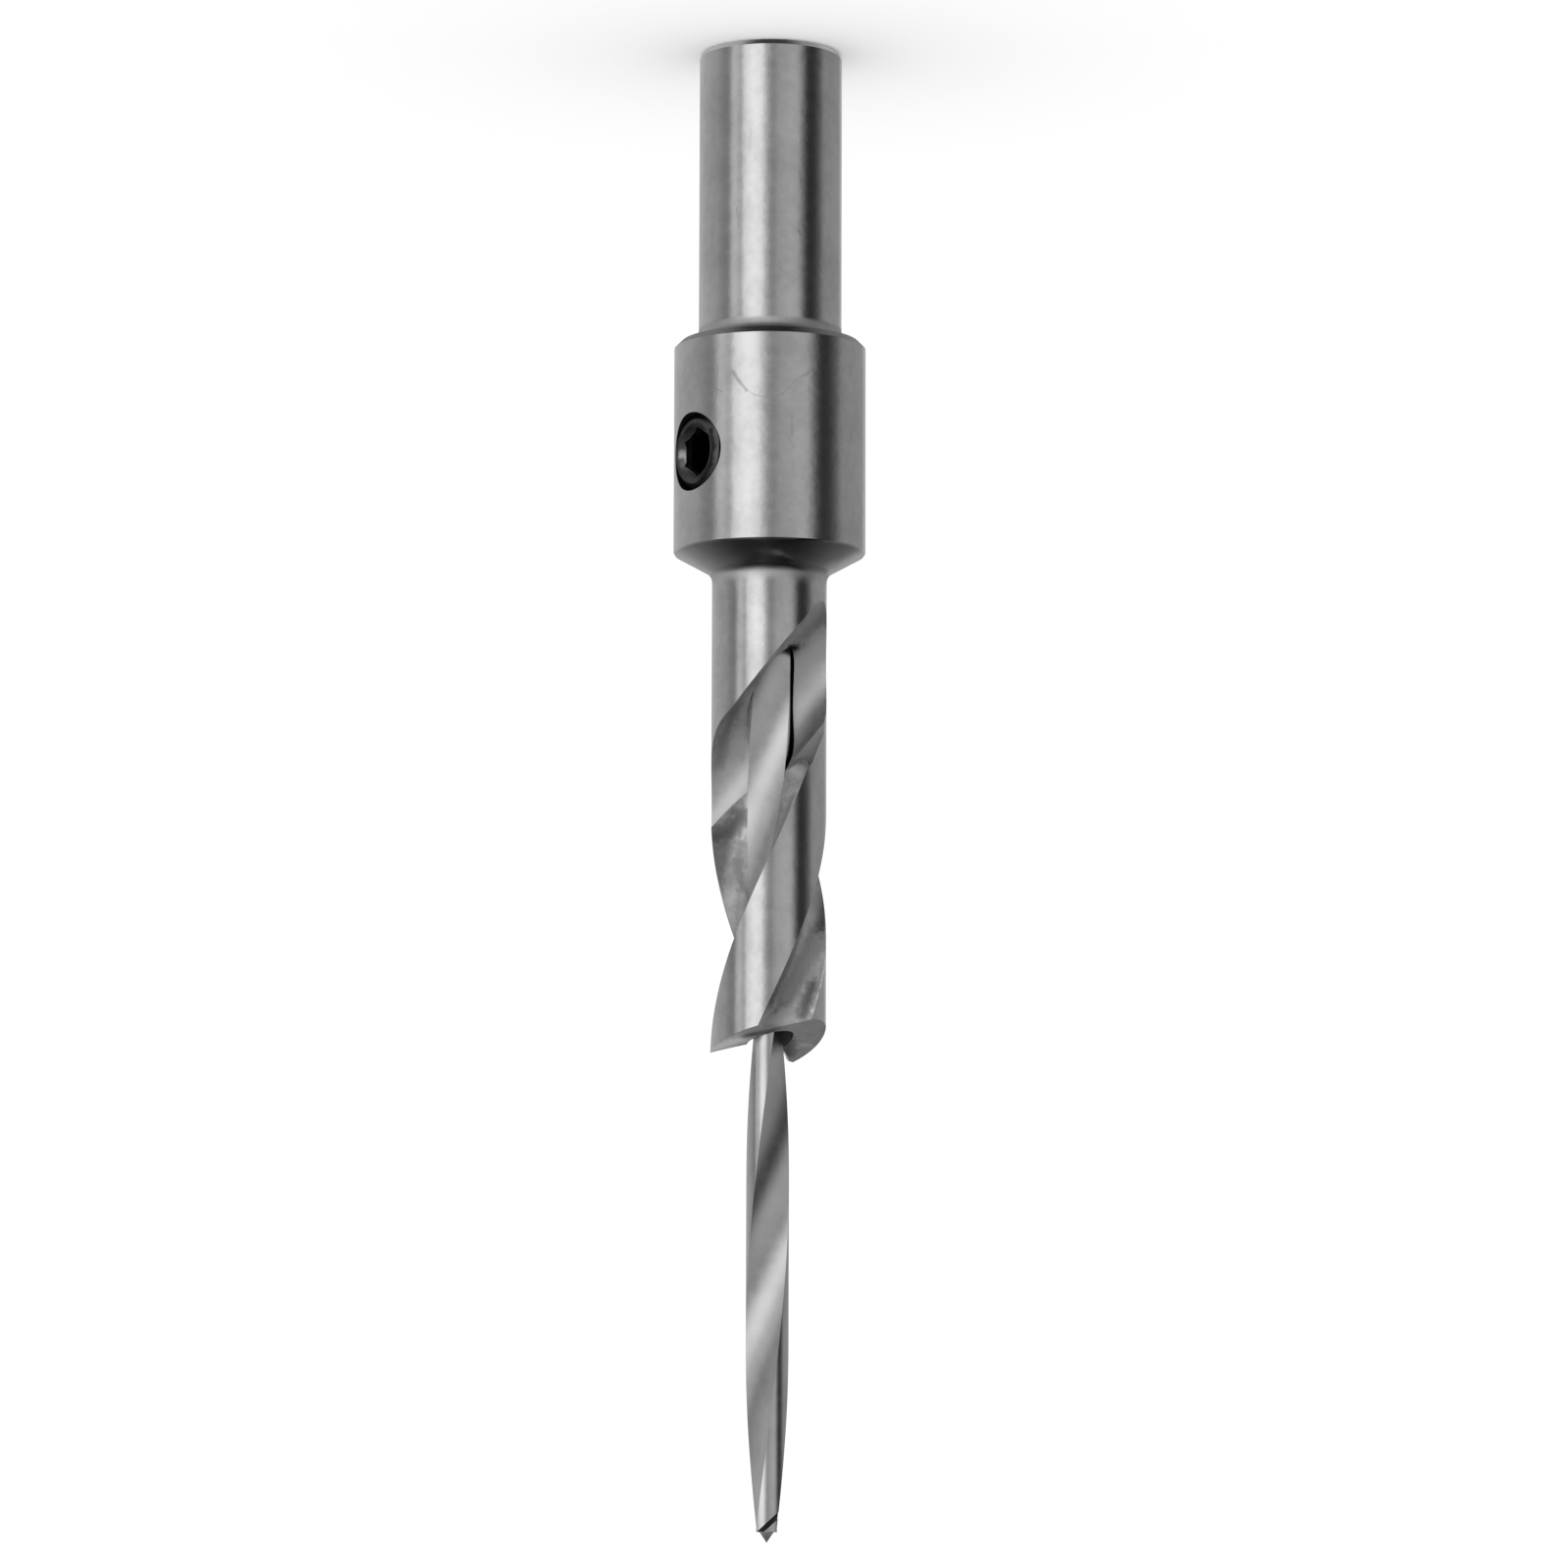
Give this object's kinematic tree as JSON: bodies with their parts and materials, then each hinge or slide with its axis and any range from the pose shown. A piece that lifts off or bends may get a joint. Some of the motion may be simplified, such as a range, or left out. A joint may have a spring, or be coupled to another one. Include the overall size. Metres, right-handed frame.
{
  "type": "countersink bit",
  "caption": "Fluted wood cutter on a round shank with a collar, a long pilot drill through its centre and a black set screw that clamps the drill.",
  "frame": {"origin": "centre of the flat end face of the shank, on which the bit stands", "axes": "+Z along the bit's axis from the shank end to the drill's point; the set screw faces between +X and -Y"},
  "size_m": [0.0134, 0.0134, 0.1042],
  "materials": {
    "ground_steel": "ground bright tool steel with fine turning lines",
    "drill_steel": "ground bright drill steel",
    "black_oxide": "black oxide on steel, slightly oily"
  },
  "bodies": {
    "root": {"cutter_body": "ground_steel", "pilot_drill": "drill_steel", "set_screw": "black_oxide"}
  },
  "joints": []
}
